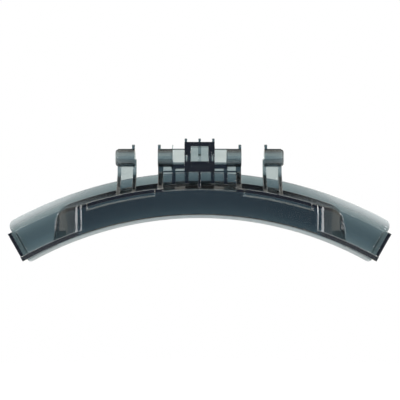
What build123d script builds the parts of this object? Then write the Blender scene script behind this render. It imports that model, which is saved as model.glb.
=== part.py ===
from build123d import *
import os
from math import cos, degrees, hypot, radians, sin, sqrt, tan

# A washing machine door handle, moulded in one piece in clear smoke-grey plastic.
# It follows the door ring. X runs along the pivot axis, Z points away from the ring's centre
# and +Y points to the show face. The frame's origin is the middle of the pivot axis.
# Depths are measured from the rear plane towards the show face. All lengths are in millimetres.

# the ring that the handle follows
RIM_R = 241.4            # convex outer edge of the show skin, from the ring's centre
HALF_ANGLE = 29.5        # each end, in degrees from the middle
BAND_H = 26.0            # rim to the concave lower edge of the rear wall
LIP_DROP = 2.2           # the show skin reaches this far below the rear wall
DEPTH = 18.0             # rear plane to the inside of the show skin
PIVOT_UP = 8.6           # pivot axis above the rim
AXIS_DEPTH = 9.0         # rear plane to the pivot axis

# show skin
SKIN_T = 3.6             # at the crown
RIM_T = 1.4              # at the rim
LIP_T = 0.7              # at the lip
CREASE_DROP = 7.1        # below the rim, the inside turns flat
CREASE_STEP = 0.35       # and steps back to a thinner rim
RIM_BACK = 1.4           # the rim comes back towards the rear
RIM_CORNER = 5.0         # rounding of the rim's two ends, seen from behind
LIP_CORNER = 2.5
RIM_BEVEL = 0.4
LIP_BEVEL = 0.2

# finger pocket behind the skin
WALL_T = 2.4
TOP_DROP = 5.2           # below the rim, the top wall meets the skin
TOP_T = 1.0              # the top wall at its rear edge, growing thicker towards the skin
DRAFT = 12.0             # slope of the top and end walls, in degrees
FLAT_ANGLE = 17.53       # half length of the flat rear wall, in degrees along the rim
BEND_R = 8.0             # bend from the rear wall into the end ramps
RAMP_ANGLE = 35.0        # straight part of the end ramps, in degrees
RAMP_RUN = 7.0           # its length along X
RAMP_ROUND = 33.0        # round-over from the ramp to the skin
RAMP_END = 80.0          # slope at the end of the round-over, in degrees
FOOT_RUN = 15.7          # the pocket on the skin is longer than the flat wall, at each end
FOOT_LEAN = 7.0          # its ends lean out towards the bottom, in degrees
FOOT_CORNER = 13.0       # its two upper corners, seen from behind
TOP_ROUND = 0.6          # rear edge of the top wall
GRIP_ROUND = 0.9         # lower edge of the rear wall, where fingers pull

# lower rails and end walls
RAIL_T = 2.8
RAIL_PROUD = 0.5         # the rails stand behind the rear plane
RAIL_LAP = 2.2           # the rails reach this far past the bend's corner
END_T = 2.0
END_ROUND = 1.2          # inside corner between an end wall and the skin
END_SET = 1.0            # the end walls stop short of the rear plane
END_DROP = 7.2           # below the rim, the end walls stop

# shallow rebates along the top of the rear wall
REBATE_H = 4.2
REBATE_DEPTH = 0.8
REBATE_GAP = 1.2         # beside the middle plates
REBATE_END = 4.7         # short of the bend's corner

# hinge barrels and outer arms
BARREL_R = 5.5
PIN_R = 4.2
PIN_CLEARANCE = 0.1
LUG_GAP = 13.3           # room for the door frame's lug between a plate and an outer arm
ARM_W = 10.2
POST_T = 2.2
POST_STEP = 0.7          # the posts stand out past the barrel's ends
POST_DEPTH = 2.2         # of an arm's posts below the barrel, from the front of the web
BOSS_OUT = 1.4           # bevelled boss on the barrel's outer end
BOSS_STEP = 0.5
BOSS_BEVEL = 0.6
KNEE_DROP = 9.5          # below the pivot axis, posts and plates start to widen to the rear
KNEE_ROUND = 6.0
WEB_T = 0.9
WEB_TOP = 0.6            # the webs end this far below the pivot axis
WEB_SINK = 0.3           # and lie this deep in the front of the barrels
SADDLE_T = 0.7           # bead along the front of a barrel, before the web
EAR_UP = 2.5             # tabs above the barrels
EAR_T = 1.7
EAR_W = 3.4
FOOT_ROUND = 0.9         # rounding where a web meets the top wall

# middle hinge group
RIB_PITCH = 7.9          # ribs and plates stand at this spacing
RIB_T = 2.4
RIB_REACH = 4.2          # ribs stand out from the web
RIB_MID_T = 1.5
PLATE_T = 3.2
PLATE_DEPTH = 4.7        # below the barrel, from the front of the web
MIDDLE_WEB_T = 1.4
PANEL_T = 0.7            # thin panel between the latch block and a barrel
PANEL_UP = 5.7           # above the pivot axis
PANEL_ROOF = 0.5         # its top edge, turned back over the pin
PANEL_ROOF_W = 3.5
CRADLE_TOP = 2.6         # trough under the pin, below the pivot axis
CRADLE_LOW = 6.6
CRADLE_BACK = 1.5        # behind the pivot axis
SHELF_DROP = 8.7         # cross rib below the pivot axis
SHELF_T = 0.9
CHAMFER_DOWN = 1.8       # chamfer of the rear top edge between the plates
CHAMFER_IN = 3.0

# latch block in the middle
BLOCK_UP = 9.3           # above the pivot axis
BLOCK_BACK = 8.0         # behind the pivot axis
WINDOW_SIDE = 3.8        # wall beside the window
WINDOW_DOWN = 2.3
WINDOW_UP = 6.7
WINDOW_FLOOR_T = 1.4
WINDOW_RIB = 1.8         # width of the rib on the window's floor
WINDOW_RIB_UP = 1.2
STEP_H = 3.3             # lower step below the window
STEP_DEPTH = 2.4
GROOVE_W = 0.7           # slits beside the window
GROOVE_FLOOR_T = 3.4
GROOVE_IN = 0.9
PRONG_UP = 2.5
PRONG_T = 1.5
PRONG_W = 3.5
NUB_UP = 2.0             # moulding gate's nub beside the left panel
NUB_T = 0.7
NUB_LEAN = 6.0           # in degrees

BITE = 0.8               # how deep feet and walls run into their neighbours
REACH = 60.0             # over-length of trimming shapes
SPARE_ANGLE = 2.0        # over-length of sweeps along the ring, in degrees
STEEP = 0.9              # an edge that rises more than this share of its length runs down an end

RING_DROP = RIM_R + PIVOT_UP
GRIP_R = RIM_R - BAND_H
LIP_R = GRIP_R - LIP_DROP
CREASE_R = RIM_R - CREASE_DROP
TOP_R = RIM_R - TOP_DROP
END_TOP_R = RIM_R - END_DROP
END_FACE_ANGLE = HALF_ANGLE - degrees(END_T / ((GRIP_R + END_TOP_R) / 2))
REAR_TOP_R = TOP_R - DEPTH * tan(radians(DRAFT))
FLAT_HALF = RIM_R * sin(radians(FLAT_ANGLE))
FOOT_HALF = FLAT_HALF + FOOT_RUN
RAIL_END = FLAT_HALF - RAIL_LAP
PIN_BORE_R = PIN_R + PIN_CLEARANCE
WEB_REAR = BARREL_R - WEB_SINK
WEB_FRONT = WEB_REAR + WEB_T
MIDDLE_WEB_REAR = WEB_FRONT - MIDDLE_WEB_T
PLATE_OUT = 3 * RIB_PITCH + PLATE_T / 2
PLATE_IN = PLATE_OUT - PLATE_T
ARM_IN = PLATE_OUT + LUG_GAP + POST_STEP
ARM_OUT = ARM_IN + ARM_W
REBATE_IN = PLATE_OUT + REBATE_GAP
REBATE_OUT = FLAT_HALF - REBATE_END
BARREL_IN = 2 * RIB_PITCH + RIB_T / 4
BLOCK_HALF = RIB_PITCH + RIB_T / 2
WINDOW_HALF = BLOCK_HALF - WINDOW_SIDE
FOOT_LOW = GRIP_R - RING_DROP


def in_place(shape):
    # from the ring's own frame, with depth along Y, into the pivot frame
    return Pos(0, -AXIS_DEPTH, -RING_DROP) * shape


def ring_plane(depth):
    return Plane(origin=(0, depth, 0), x_dir=(1, 0, 0), z_dir=(0, -1, 0))


def on_ring(r, angle):
    return (r * sin(radians(angle)), r * cos(radians(angle)))


def sector(r_in, r_out, half_angle):
    outer = ThreePointArc(on_ring(r_out, -half_angle), (0, r_out), on_ring(r_out, half_angle))
    inner = ThreePointArc(on_ring(r_in, half_angle), (0, r_in), on_ring(r_in, -half_angle))
    right = Line(on_ring(r_out, half_angle), on_ring(r_in, half_angle))
    left = Line(on_ring(r_in, -half_angle), on_ring(r_out, -half_angle))
    return make_face([outer, right, inner, left])


def ring_slab(sketch, depth_from, depth_to):
    # a sketch seen from behind, between two depths
    return extrude(ring_plane(depth_to) * sketch, amount=depth_to - depth_from)


def ring_sweep(section, half_angle):
    # a section of depth and radius, carried along the ring to both sides
    return revolve(Rot(0, -half_angle, 0) * (Plane.YZ * section), Axis.Y, 2 * half_angle)


def block(x_from, x_to, y_from, y_to, z_from, z_to):
    middle = ((x_from + x_to) / 2, (y_from + y_to) / 2, (z_from + z_to) / 2)
    return Pos(*middle) * Box(x_to - x_from, y_to - y_from, z_to - z_from)


def rod(radius, x_from, x_to):
    return Pos((x_from + x_to) / 2, 0, 0) * Rot(0, 90, 0) * Cylinder(radius, x_to - x_from)


def both_sides(shape):
    return [shape, mirror(shape, Plane.YZ)]


def show_skin():
    # flat inside, crowned show face, both long edges thin
    rim_depth = DEPTH - RIM_BACK
    lip_in, lip_out = (DEPTH, LIP_R), (DEPTH + LIP_T, LIP_R)
    rim_in, rim_out = (rim_depth, RIM_R), (rim_depth + RIM_T, RIM_R)
    crown = (DEPTH + SKIN_T, (LIP_R + RIM_R) / 2)
    crease = [(DEPTH, CREASE_R), (DEPTH + CREASE_STEP, CREASE_R + CREASE_STEP)]
    inside = Polyline(lip_out, lip_in, *crease, rim_in, rim_out)
    section = make_face([inside, ThreePointArc(rim_out, crown, lip_out)])
    section = chamfer(section.vertices().group_by(Axis.Y)[0], LIP_BEVEL)
    section = chamfer(section.vertices().group_by(Axis.Y)[-1], RIM_BEVEL)
    outline = sector(LIP_R, RIM_R, HALF_ANGLE)
    outline = fillet(outline.vertices().group_by(Axis.Y)[-1], RIM_CORNER)
    outline = fillet(outline.vertices().group_by(Axis.Y)[0], LIP_CORNER)
    return ring_sweep(section, HALF_ANGLE + SPARE_ANGLE) & ring_slab(outline, 0, DEPTH + REACH)


def pocket_wedge(inset, depth):
    # the pocket's outline on the skin, drawn in towards the rear by the draft
    grow = (depth - DEPTH) * tan(radians(DRAFT)) - inset / cos(radians(DRAFT))
    half, lean = FOOT_HALF + grow, tan(radians(FOOT_LEAN))
    low, high = GRIP_R - REACH, GRIP_R + REACH
    wide, narrow = half + lean * REACH, half - lean * REACH
    ends = Polygon((-wide, low), (wide, low), (narrow, high), (-narrow, high), align=None)
    outline = Circle(TOP_R + grow) & ends
    outline = fillet(outline.vertices().group_by(Axis.Y)[-1], FOOT_CORNER - inset)
    return extrude(ring_plane(depth) * outline, amount=depth + BITE, taper=DRAFT)


def ramp_course(sign, inset):
    # from the bend's sharp corner down the straight ramp and over its round foot
    start, end = radians(RAMP_ANGLE), radians(RAMP_END)
    centre_x = FLAT_HALF + RAMP_RUN - RAMP_ROUND * sin(start)
    centre_depth = RAMP_RUN * tan(start) + RAMP_ROUND * cos(start)
    points = [(FLAT_HALF - inset * tan(start / 2), inset)]
    for turn in (start, (start + end) / 2, end):
        reach = RAMP_ROUND - inset
        points.append((centre_x + reach * sin(turn), centre_depth - reach * cos(turn)))
    return [(sign * x, depth) for x, depth in points]


def pocket_prism(inset):
    # everything in front of the rear wall and its two ramps, set in by a wall or not
    left, right = ramp_course(-1, inset), ramp_course(1, inset)
    far, side = DEPTH + REACH, right[3][0] + REACH / 2
    region = make_face([
        Line(left[0], right[0]),
        Line(right[0], right[1]),
        ThreePointArc(right[1], right[2], right[3]),
        Polyline(right[3], (side, far), (-side, far), left[3]),
        ThreePointArc(left[3], left[2], left[1]),
        Line(left[1], left[0]),
    ])
    region = fillet(region.vertices().group_by(Axis.Y)[0], BEND_R - inset)
    return Pos(0, 0, TOP_R - 2 * REACH) * extrude(region, amount=3 * REACH)


def pocket_box():
    box = pocket_wedge(0, DEPTH + BITE) & pocket_prism(0)
    rear = [e for e in box.edges() if (e @ 0.5).Y < DEPTH - BITE and hypot((e @ 0.5).X, (e @ 0.5).Z) > GRIP_R]
    box = fillet([e for e in rear if abs((e % 0.5).Z) < STEEP], TOP_ROUND)
    return box - Rot(90, 0, 0) * Cylinder(GRIP_R, 4 * REACH)


def grip_rounding():
    # what is cut off the lower edge of the rear wall to leave it a round nose, between the rails
    nose = Pos(WALL_T / 2, GRIP_R + REACH / 2) * Rectangle(WALL_T, REACH)
    nose = fillet(nose.vertices().group_by(Axis.Y)[0], GRIP_ROUND)
    band = Pos(WALL_T / 2, GRIP_R) * Rectangle(WALL_T + 2 * BITE, 2 * GRIP_ROUND)
    return ring_sweep(band - nose, HALF_ANGLE) & Pos(0, 0, GRIP_R) * Box(2 * RAIL_END, REACH, 2 * REACH)


def finger_room():
    # its ceiling keeps one distance from the ring's centre
    ceiling = Rot(90, 0, 0) * Cylinder(REAR_TOP_R - TOP_T, 4 * REACH)
    return pocket_wedge(WALL_T, DEPTH) & pocket_prism(WALL_T) & ceiling


def end_corner():
    # the hollow rounding between the right end wall and the skin
    high, low, deep = (0, DEPTH - END_ROUND), (-END_ROUND, DEPTH), (BITE / 2, DEPTH + BITE / 2)
    section = make_face([TangentArc(high, low, tangent=(0, 1)), Polyline(low, deep, high)])
    bar = Pos(0, 0, GRIP_R + BITE) * extrude(section, amount=END_TOP_R - GRIP_R - 2 * BITE)
    return Rot(0, END_FACE_ANGLE, 0) * bar


def rails_and_ends():
    # a lower rail and an end wall at each end
    outline = sector(GRIP_R, END_TOP_R, HALF_ANGLE)
    outline -= sector(GRIP_R + RAIL_T, END_TOP_R + REACH, END_FACE_ANGLE)
    outline -= Pos(0, GRIP_R) * Rectangle(2 * RAIL_END, 2 * REACH)
    walls = ring_slab(outline, -RAIL_PROUD, DEPTH + BITE)
    walls += both_sides(end_corner())
    return walls - ring_slab(sector(GRIP_R + RAIL_T, RIM_R, HALF_ANGLE + SPARE_ANGLE), -REACH, END_SET)


def rebates():
    # drawn at the floor, opening out to the rear at 45 degrees
    course = sector(REAR_TOP_R - REBATE_H + REBATE_DEPTH, RIM_R, HALF_ANGLE)
    length = REBATE_OUT - REBATE_IN - 2 * REBATE_DEPTH
    course &= Pos((REBATE_IN + REBATE_OUT) / 2, REAR_TOP_R) * Rectangle(length, REACH)
    cut = extrude(ring_plane(REBATE_DEPTH) * course, amount=REBATE_DEPTH + BITE, taper=-45)
    return cut + mirror(cut, Plane.YZ)


def group_chamfer():
    # a slope along the rear top edge, between the middle plates
    slope = CHAMFER_DOWN / CHAMFER_IN + tan(radians(DRAFT))
    low, end = REAR_TOP_R - CHAMFER_DOWN, CHAMFER_IN + BITE
    section = Polygon(
        (-BITE, low - slope * BITE), (end, low + slope * end), (-BITE, RIM_R), align=None
    )
    return ring_sweep(section, degrees(PLATE_IN / REAR_TOP_R))


def hinge_plate(x_from, x_to, depth):
    # upright below the barrel, then widening to the rear at the foot
    rear, foot_rear = WEB_FRONT - depth, BITE - AXIS_DEPTH
    foot = sqrt(REAR_TOP_R**2 - x_to**2) - RING_DROP
    side = Polygon(
        (rear, 0),
        (rear, -KNEE_DROP),
        (foot_rear, foot),
        (foot_rear, FOOT_LOW),
        (WEB_FRONT, FOOT_LOW),
        (WEB_FRONT, 0),
        align=None,
    )
    knee = side.vertices().sort_by_distance((rear, -KNEE_DROP))[0]
    side = fillet(knee, KNEE_ROUND) - Pos(0, REACH / 2 - WEB_TOP) * Rectangle(REACH, REACH)
    return Pos(x_from, 0, 0) * extrude(Plane.YZ * side, amount=x_to - x_from)


def ear(x_from):
    tab = block(x_from, x_from + EAR_T, -EAR_W / 2, EAR_W / 2, 0, BARREL_R + EAR_UP)
    return fillet(tab.edges().group_by(Axis.Z)[-1].filter_by(Axis.X), EAR_W / 4)


def web(x_from, x_to, rear, top):
    return block(x_from, x_to, rear, WEB_FRONT, FOOT_LOW, -top)


def web_foot(x_from, x_to, rear):
    # the hollow rounding where a web stands on the top wall
    depth, lean = rear + AXIS_DEPTH, radians(DRAFT)
    r = REAR_TOP_R + depth * tan(lean)
    high = (depth, r + FOOT_ROUND)
    low = (depth - FOOT_ROUND * cos(lean), r - FOOT_ROUND * sin(lean))
    deep = (depth + BITE / 2, r - BITE / 2)
    section = make_face([TangentArc(high, low, tangent=(0, -1)), Polyline(low, deep, high)])
    return in_place(ring_sweep(section, HALF_ANGLE)) & block(x_from, x_to, -REACH, REACH, -REACH, 0)


def barrel(x_from, x_to):
    # the saddle fills the corner between the barrel and the web
    saddle = block(x_from, x_to, 0, WEB_FRONT + SADDLE_T, WEB_SINK - BARREL_R, -WEB_TOP)
    return rod(BARREL_R, x_from, x_to) + saddle


def post(x_from):
    return hinge_plate(x_from, x_from + POST_T, POST_DEPTH)


def outer_arm():
    boss = rod(BARREL_R - BOSS_STEP, ARM_OUT - BITE, ARM_OUT + BOSS_OUT)
    boss = chamfer(boss.edges().sort_by(Axis.X)[-1], BOSS_BEVEL)
    return [
        post(ARM_IN - POST_STEP),
        post(ARM_OUT + POST_STEP - POST_T),
        web(ARM_IN, ARM_OUT, WEB_REAR, WEB_TOP),
        web_foot(ARM_IN, ARM_OUT, WEB_REAR),
        barrel(ARM_IN, ARM_OUT),
        boss,
        ear(ARM_IN),
    ]


def pin_trough():
    # open to the rear from the latch block to a barrel, with a thin panel in front of the pin
    x_from, x_to = BLOCK_HALF - BITE, BARREL_IN + BITE
    front = WEB_REAR + PANEL_T
    return [
        block(x_from, x_to, WEB_REAR, front, -CRADLE_LOW, PANEL_UP),
        block(x_from, x_to, front - PANEL_ROOF_W, front, PANEL_UP - PANEL_ROOF, PANEL_UP),
        block(x_from, x_to, -CRADLE_BACK, WEB_FRONT, -CRADLE_LOW, -CRADLE_TOP),
    ]


def group_ribs():
    # upright ribs below the barrels, and the cross rib that ties them
    front = (MIDDLE_WEB_REAR + WEB_FRONT) / 2
    rear = MIDDLE_WEB_REAR - RIB_REACH
    ribs = [block(-RIB_MID_T / 2, RIB_MID_T / 2, BITE - BLOCK_BACK, front, FOOT_LOW, -SHELF_DROP)]
    for step in (1, 2):
        x = step * RIB_PITCH
        ribs += both_sides(block(x - RIB_T / 2, x + RIB_T / 2, rear, front, FOOT_LOW, BITE - CRADLE_LOW))
    shelf = block(-PLATE_IN - BITE, PLATE_IN + BITE, rear, front, -SHELF_DROP, SHELF_T - SHELF_DROP)
    return ribs + [shelf]


def latch_block():
    body = block(-BLOCK_HALF, BLOCK_HALF, -BLOCK_BACK, WEB_FRONT, -SHELF_DROP, BLOCK_UP)
    floor, step = WEB_FRONT - WINDOW_FLOOR_T, STEP_DEPTH - BLOCK_BACK
    body -= block(-WINDOW_HALF, WINDOW_HALF, -REACH, floor, -WINDOW_DOWN, WINDOW_UP)
    body -= block(-WINDOW_HALF, WINDOW_HALF, -REACH, step, -WINDOW_DOWN - STEP_H, 0)
    slit = BLOCK_HALF - GROOVE_IN
    deep = WEB_FRONT - GROOVE_FLOOR_T
    for groove in both_sides(block(slit - GROOVE_W, slit, -REACH, deep, -WINDOW_DOWN, WINDOW_UP - STEP_H)):
        body -= groove
    body += block(-WINDOW_RIB / 2, WINDOW_RIB / 2, floor - WINDOW_RIB_UP, floor, -WINDOW_DOWN, WINDOW_UP)
    for x in (PRONG_T / 2 - BLOCK_HALF, 0, BLOCK_HALF - PRONG_T / 2):
        prong = block(x - PRONG_T / 2, x + PRONG_T / 2, 0, PRONG_W, 0, BLOCK_UP + PRONG_UP)
        prong -= block(-REACH, REACH, -REACH, REACH, -REACH, BLOCK_UP - BITE)
        body += fillet(prong.edges().group_by(Axis.Z)[-1].filter_by(Axis.X), PRONG_T / 3)
    return body


def gate_nub():
    nub = Pos(0, 0, BARREL_R + NUB_UP / 2) * Box(NUB_T, NUB_T, NUB_UP + BITE)
    return Pos(-BARREL_IN - NUB_T, 0, 0) * Rot(0, NUB_LEAN, 0) * nub


def middle_group():
    pieces = both_sides(hinge_plate(PLATE_IN, PLATE_OUT, PLATE_DEPTH))
    pieces += both_sides(barrel(BARREL_IN, PLATE_OUT))
    pieces += both_sides(ear(PLATE_OUT - EAR_T))
    for piece in pin_trough():
        pieces += both_sides(piece)
    pieces.append(web(-PLATE_IN - BITE, PLATE_IN + BITE, MIDDLE_WEB_REAR, CRADLE_TOP))
    pieces.append(web_foot(-PLATE_IN - BITE, PLATE_IN + BITE, MIDDLE_WEB_REAR))
    return pieces + [latch_block(), gate_nub()] + group_ribs()


def hinge():
    pieces = middle_group()
    for piece in outer_arm():
        pieces += both_sides(piece)
    joined = pieces[0].fuse(*pieces[1:])
    return joined - in_place(pocket_wedge(BITE, DEPTH + REACH / 3))


def door_handle():
    box = pocket_box() - rebates() - group_chamfer()
    shell = show_skin() + box + rails_and_ends() - finger_room() - grip_rounding()
    return in_place(shell) + hinge() - rod(PIN_BORE_R, -REACH, REACH)


os.makedirs("parts", exist_ok=True)
handle = door_handle()
export_step(handle, "parts/door_handle.step")
print("solids", len(handle.solids()), "volume", round(handle.volume, 1), handle.bounding_box())
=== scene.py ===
import bpy
import math
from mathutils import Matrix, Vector


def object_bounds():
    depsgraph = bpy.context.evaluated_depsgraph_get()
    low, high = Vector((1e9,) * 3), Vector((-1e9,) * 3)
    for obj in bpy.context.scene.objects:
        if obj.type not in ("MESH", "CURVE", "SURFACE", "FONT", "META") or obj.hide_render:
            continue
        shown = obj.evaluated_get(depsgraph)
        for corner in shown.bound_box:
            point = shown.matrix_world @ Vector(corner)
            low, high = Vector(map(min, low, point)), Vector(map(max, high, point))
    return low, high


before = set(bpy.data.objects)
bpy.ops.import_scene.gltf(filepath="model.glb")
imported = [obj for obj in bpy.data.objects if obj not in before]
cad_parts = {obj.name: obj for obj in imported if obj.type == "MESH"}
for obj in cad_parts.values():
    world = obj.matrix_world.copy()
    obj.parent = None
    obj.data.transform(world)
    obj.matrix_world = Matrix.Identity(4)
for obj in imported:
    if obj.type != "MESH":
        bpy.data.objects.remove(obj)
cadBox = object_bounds()
print("frame loaded:", sorted(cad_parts))

scene = bpy.context.scene
scene.view_settings.view_transform = "Standard"


class Wire:  # one socket of a node tree, with the arithmetic that the materials use
    def __init__(self, tree, socket):
        self.tree = tree
        self.socket = socket

    def node(self, kind, settings=None, sockets=None, output=0):
        made = self.tree.nodes.new(kind)
        for name, value in (settings or {}).items():
            setattr(made, name, value)
        for name, value in (sockets or {}).items():
            if isinstance(value, Wire):
                self.tree.links.new(value.socket, made.inputs[name])
            else:
                made.inputs[name].default_value = value
        return Wire(self.tree, made.outputs[output]) if made.outputs else None

    def math(self, operation, first, second=0.0, clamp=False):
        settings = {"operation": operation, "use_clamp": clamp}
        return self.node("ShaderNodeMath", settings, {0: first, 1: second})

    def vector(self, operation, first, second=(0, 0, 0), output=0):
        settings = {"operation": operation}
        return self.node("ShaderNodeVectorMath", settings, {0: first, 1: second}, output)

    def outputs(self):  # every output of this socket's node, by its name
        return {out.name: Wire(self.tree, out) for out in self.socket.node.outputs}

    def axes(self):
        return self.node("ShaderNodeSeparateXYZ", None, {0: self}).outputs().values()

    def smooth(self, low, high):  # 0 at low, 1 at high
        span = {"Value": self, "From Min": low, "From Max": high}
        return self.node("ShaderNodeMapRange", {"interpolation_type": "SMOOTHSTEP"}, span)

    def __abs__(self):
        return self.math("ABSOLUTE", self)

    def __add__(self, other):
        return self.math("ADD", self, other)

    def __radd__(self, other):
        return self.math("ADD", other, self)

    def __sub__(self, other):
        return self.math("SUBTRACT", self, other)

    def __rsub__(self, other):
        return self.math("SUBTRACT", other, self)

    def __mul__(self, other):
        return self.math("MULTIPLY", self, other)

    def __rmul__(self, other):
        return self.math("MULTIPLY", other, self)


def freshTree(holder):  # an emptied node tree's first wire, to start its nodes from
    holder.use_nodes = True
    holder.node_tree.nodes.clear()
    return Wire(holder.node_tree, None)


# lengths are in metres; a pair is where something starts and where it is full
smokeLook = {
    "ior": 1.53,
    "absorbColour": (0.29, 0.405, 0.45, 1),  # what is left of white light after a while inside
    "absorbDensity": 1100.0,                 # per metre, so a 3 mm wall is dark smoke
    "clear": 0.99,                           # the rest is faintly milky
    "tint": (0.97, 0.985, 0.98, 1),
    "tintFlow": (0.90, 0.93, 0.93, 1),       # faint flow streaks from moulding
    "flowStretch": (14, 60, 60),             # the streaks run along the handle
    "flowNoise": (3.0, 4.0),                 # scale and detail
    "flowSpan": (0.45, 0.75),
    "polish": 0.03,                          # roughness where the mould was polished
    "smear": 0.05,                           # added roughness where it was handled
    "smearNoise": (55.0, 5.0),
    "smearSpan": (0.5, 0.8),
    "roundRadius": 0.00035,                  # every edge catches light as if it had this radius
    "roundSamples": 6,
    "ripple": 0.012,                         # bump strength of the moulded surface
    "rippleHeight": 0.001,
    "rippleNoise": (160.0, 2.0),
    "paintedLightWhite": (0.9, 0.93, 0.9, 1),             # a matt white mixed in as painted light: a glow along the thin rim and lip, painted highlights on edges, and a lighter rail
    "ringCentre": (0, 0, -0.25),             # the handle is bent about this point
    "rimPaintedGlow": 0.55,                         # share of the white along the rim, a painted glow where light comes through the thin rim
    "rimRadius": (0.2345, 0.2414),
    "rimEnds": (0.04, 0.1),                  # from the middle, as the painted glow is strongest near the rim's ends
    # a painted glow on the thin lip, as if light came through it
    "lipPaintedGlow": 0.55,
    "lipRadius": (0.2154, 0.2147),
    "railPale": 0.02,                        # a little matt white makes the rails' rear faces lighter
    "railDepth": (-0.0091, -0.0094),
    "edgePaintedHighlight": 0.55,                        # a painted highlight on edges of the grip that look up and to the rear
    "edgeSpread": 0.0006,
    "edgeSamples": 8,
    "edgeTurn": (0.99, 0.92),                # cosine between the rounded and the flat normal
    "edgeUp": (0.3, 0.6),
    "edgeBack": (-0.2, -0.5),
    "edgeAside": (0.55, 0.4),
    "edgeRadius": (0.243, 0.24),             # the hinge above the rim has none
}


def noise(place, scale, detail):
    sockets = {"Vector": place, "Scale": scale, "Detail": detail}
    return place.node("ShaderNodeTexNoise", None, sockets)


def bevel(start, radius, samples):
    return start.node("ShaderNodeBevel", {"samples": samples}, {"Radius": radius})


def smokeShader(place, look):
    stretched = {"Vector": place, "Scale": look["flowStretch"]}
    streaks = noise(place.node("ShaderNodeMapping", None, stretched), *look["flowNoise"])
    smears = noise(place, *look["smearNoise"])
    ripples = noise(place, *look["rippleNoise"])
    tints = {0: streaks.smooth(*look["flowSpan"]), 6: look["tint"], 7: look["tintFlow"]}
    bumps = {
        "Strength": look["ripple"],
        "Distance": look["rippleHeight"],
        "Height": ripples,
        "Normal": bevel(place, look["roundRadius"], look["roundSamples"]),
    }
    sockets = {
        "Base Color": place.node("ShaderNodeMix", {"data_type": "RGBA"}, tints, output=2),
        "Roughness": look["polish"] + look["smear"] * smears.smooth(*look["smearSpan"]),
        "IOR": look["ior"],
        "Transmission Weight": look["clear"],
        "Normal": place.node("ShaderNodeBump", None, bumps),
    }
    return place.node("ShaderNodeBsdfPrincipled", None, sockets)


def paintedLightMask(place, look):  # how much of the painted-light white shows, from 0 to 1
    across, deep, up = place.vector("SUBTRACT", place, look["ringCentre"]).axes()
    radius = place.math("SQRT", across * across + up * up)
    # painted glow: the rim turns pale towards its outer edge and its ends, standing in for light
    # coming through the thin plastic
    rim = radius.smooth(*look["rimRadius"]) * abs(across).smooth(*look["rimEnds"])
    # painted glow on the lip, standing in for light through its thin edge
    lip = radius.smooth(*look["lipRadius"])
    # the rails' rear faces are made a little lighter by the same matt white
    rail = deep.smooth(*look["railDepth"])
    # painted highlight: a line of matt white along rounded edges that face up and to the rear,
    # where light would catch them
    rounded = bevel(place, look["edgeSpread"], look["edgeSamples"])
    flat = place.node("ShaderNodeNewGeometry").outputs()["True Normal"]
    turned = place.vector("DOT_PRODUCT", rounded, flat, output=1)
    aside, back, lift = rounded.axes()
    edge = turned.smooth(*look["edgeTurn"]) * lift.smooth(*look["edgeUp"])
    edge = edge * back.smooth(*look["edgeBack"]) * abs(aside).smooth(*look["edgeAside"])
    edge = edge * radius.smooth(*look["edgeRadius"])
    # the shares of painted glow, lightening and painted highlight add up to one mask
    pale = rim * look["rimPaintedGlow"] + lip * look["lipPaintedGlow"] + rail * look["railPale"]
    return place.math("ADD", pale, edge * look["edgePaintedHighlight"], clamp=True)


def smokePlastic(look):
    material = bpy.data.materials.new("clearSmokePlastic")
    start = freshTree(material)
    place = start.node("ShaderNodeTexCoord").outputs()["Object"]
    paintedLightWhite = start.node("ShaderNodeBsdfDiffuse", None, {"Color": look["paintedLightWhite"]})
    layers = {0: paintedLightMask(place, look), 1: smokeShader(place, look), 2: paintedLightWhite}
    smoke = {"Color": look["absorbColour"], "Density": look["absorbDensity"]}
    ends = {
        "Surface": start.node("ShaderNodeMixShader", None, layers),
        "Volume": start.node("ShaderNodeVolumeAbsorption", None, smoke),
    }
    start.node("ShaderNodeOutputMaterial", None, ends)
    return material


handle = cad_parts["door_handle"]
handle.data.materials[0] = smokePlastic(smokeLook)
print("handle dressed")


viewpoint = {
    "imageWidth": 400,             # the photograph's frame, in pixels
    "pivotPixel": (199.6, 157.3),  # where the middle of the pivot is, at the rear plane
    "pixel": 0.0006,               # metres across one pixel at the rear plane
    "rearPlane": -0.009,
    "distance": 0.64,
    "nearest": 0.01,
}


def photoCamera(view):
    half = view["imageWidth"] / 2
    data = bpy.data.cameras.new("photoCamera")
    data.angle = 2 * math.atan(half * view["pixel"] / view["distance"])
    data.clip_start = view["nearest"]
    camera = bpy.data.objects.new("photoCamera", data)
    across = (half - view["pivotPixel"][0]) * view["pixel"]
    up = (view["pivotPixel"][1] - half) * view["pixel"]
    camera.location = (across, view["rearPlane"] - view["distance"], up)
    camera.rotation_euler = (math.pi / 2, 0, 0)
    scene.collection.objects.link(camera)
    scene.camera = camera


photoCamera(viewpoint)
print("camera placed")


# spans in the world are of a direction's depth or height, from -1 to 1
studio = {
    "background": (1, 1, 1, 1),     # what the camera sees past the part
    "white": (1.0, 1.0, 0.93, 1),   # of the table and the screens
    "table": 1.0,                   # brightness of the white table below and of the backdrop
    "above": 0.04,                  # of what lies above the backdrop
    "aboveSpan": (0.19, 0.31),
    "screens": 1.2,                 # of the screens beside and over the part
    "screensSpan": (0.55, 0.25),
    "top": 1.4,                     # of the screen straight overhead
    "topSpan": (0.85, 0.96),
    "room": (0.12, 0.18, 0.34, 1),  # of the room behind the camera
    "roomSpan": (-0.1, -0.35),
    "roomTop": (0.5, 0.25),
    "boxes": {                      # angle to the side, angle up, width, height, brightness
        "softboxLeft": (-64, 4, 0.45, 0.5, 7.0),
        "softboxRight": (64, 4, 0.45, 0.5, 7.0),
        "stripLeft": (-23.5, 4, 0.16, 0.5, 12.0),
        "stripRight": (23.5, 4, 0.16, 0.5, 12.0),
    },
    "boxDistance": 1.2,
}


def glowing(start, colour, strength):
    return start.node("ShaderNodeBackground", None, {"Color": colour, "Strength": strength})


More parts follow.
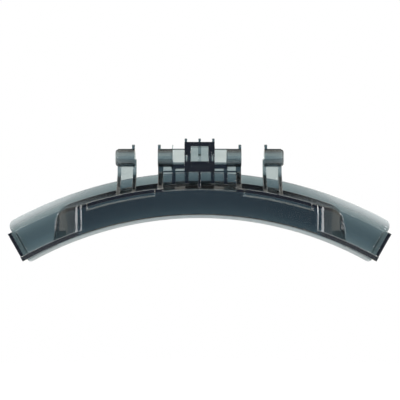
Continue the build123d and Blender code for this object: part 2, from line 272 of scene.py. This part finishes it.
def studioWorld(setup):
    world = bpy.data.worlds.new("whiteStudio")
    scene.world = world
    start = freshTree(world)
    _, depth, height = start.node("ShaderNodeTexCoord").axes()
    level = setup["table"] + (setup["above"] - setup["table"]) * height.smooth(*setup["aboveSpan"])
    level = level + (setup["screens"] - level) * depth.smooth(*setup["screensSpan"])
    level = level + (setup["top"] - level) * height.smooth(*setup["topSpan"])
    around = glowing(start, setup["white"], level)
    room = glowing(start, setup["room"], 1.0)
    white = glowing(start, setup["background"], 1.0)
    rays = start.node("ShaderNodeLightPath").outputs()
    behind = depth.smooth(*setup["roomSpan"]) * height.smooth(*setup["roomTop"])
    behind = behind * (1.0 - rays["Is Transmission Ray"])
    lit = start.node("ShaderNodeMixShader", None, {0: behind, 1: around, 2: room})
    seen = start.node("ShaderNodeMixShader", None, {0: rays["Is Camera Ray"], 1: lit, 2: white})
    start.node("ShaderNodeOutputWorld", None, {"Surface": seen})


def softbox(name, place, distance):
    side, up, width, height, brightness = place
    data = bpy.data.lights.new(name, "AREA")
    data.shape = "RECTANGLE"
    data.size, data.size_y = width, height
    data.energy = brightness * math.pi * width * height
    lamp = bpy.data.objects.new(name, data)
    turn, lift = math.radians(side), math.radians(up)
    flat = math.cos(lift)
    away = Vector((math.sin(turn) * flat, -math.cos(turn) * flat, math.sin(lift)))
    lamp.location = away * distance
    lamp.rotation_euler = away.to_track_quat("Z", "Y").to_euler()
    lamp.visible_camera = False
    scene.collection.objects.link(lamp)


studioWorld(studio)
for name, place in studio["boxes"].items():
    softbox(name, place, studio["boxDistance"])
print("studio lit")


floorSetup = {
    "drop": 0.14,           # below the part, which hangs from its pivot
    "radius": 0.6,
    "corners": 96,
    "fade": (0.24, 0.57),   # out to nothing, from the middle
    "glow": 0.55,           # keeps the unshaded floor as white as the background
    "colour": (0.8, 0.8, 0.8, 1),
}


def floorMaterial(setup):
    material = bpy.data.materials.new("paleFloor")
    start = freshTree(material)
    place = start.node("ShaderNodeTexCoord").outputs()["Object"]
    away = start.vector("LENGTH", place, output=1)
    rays = start.node("ShaderNodeLightPath").outputs()
    seen = start.math("ADD", rays["Is Camera Ray"], rays["Is Transmission Ray"], clamp=True)
    matt = start.node("ShaderNodeBsdfDiffuse", None, {"Color": setup["colour"]})
    glow = start.node("ShaderNodeEmission", None, {"Strength": seen * setup["glow"]})
    shaded = start.node("ShaderNodeAddShader", None, {0: matt, 1: glow})
    clear = start.node("ShaderNodeBsdfTransparent")
    under = start.node("ShaderNodeNewGeometry").outputs()["Backfacing"]
    gone = start.math("MAXIMUM", away.smooth(*setup["fade"]), under)
    mixed = start.node("ShaderNodeMixShader", None, {0: gone, 1: shaded, 2: clear})
    start.node("ShaderNodeOutputMaterial", None, {"Surface": mixed})
    return material


def paleFloor(setup):
    sides, radius = setup["corners"], setup["radius"]
    bpy.ops.mesh.primitive_circle_add(vertices=sides, radius=radius, fill_type="NGON")
    floor = bpy.context.object
    floor.name = "paleFloor"
    floor.location.z = cadBox[0][2] - setup["drop"]
    floor.data.materials.append(floorMaterial(setup))


paleFloor(floorSetup)
print("floor laid")
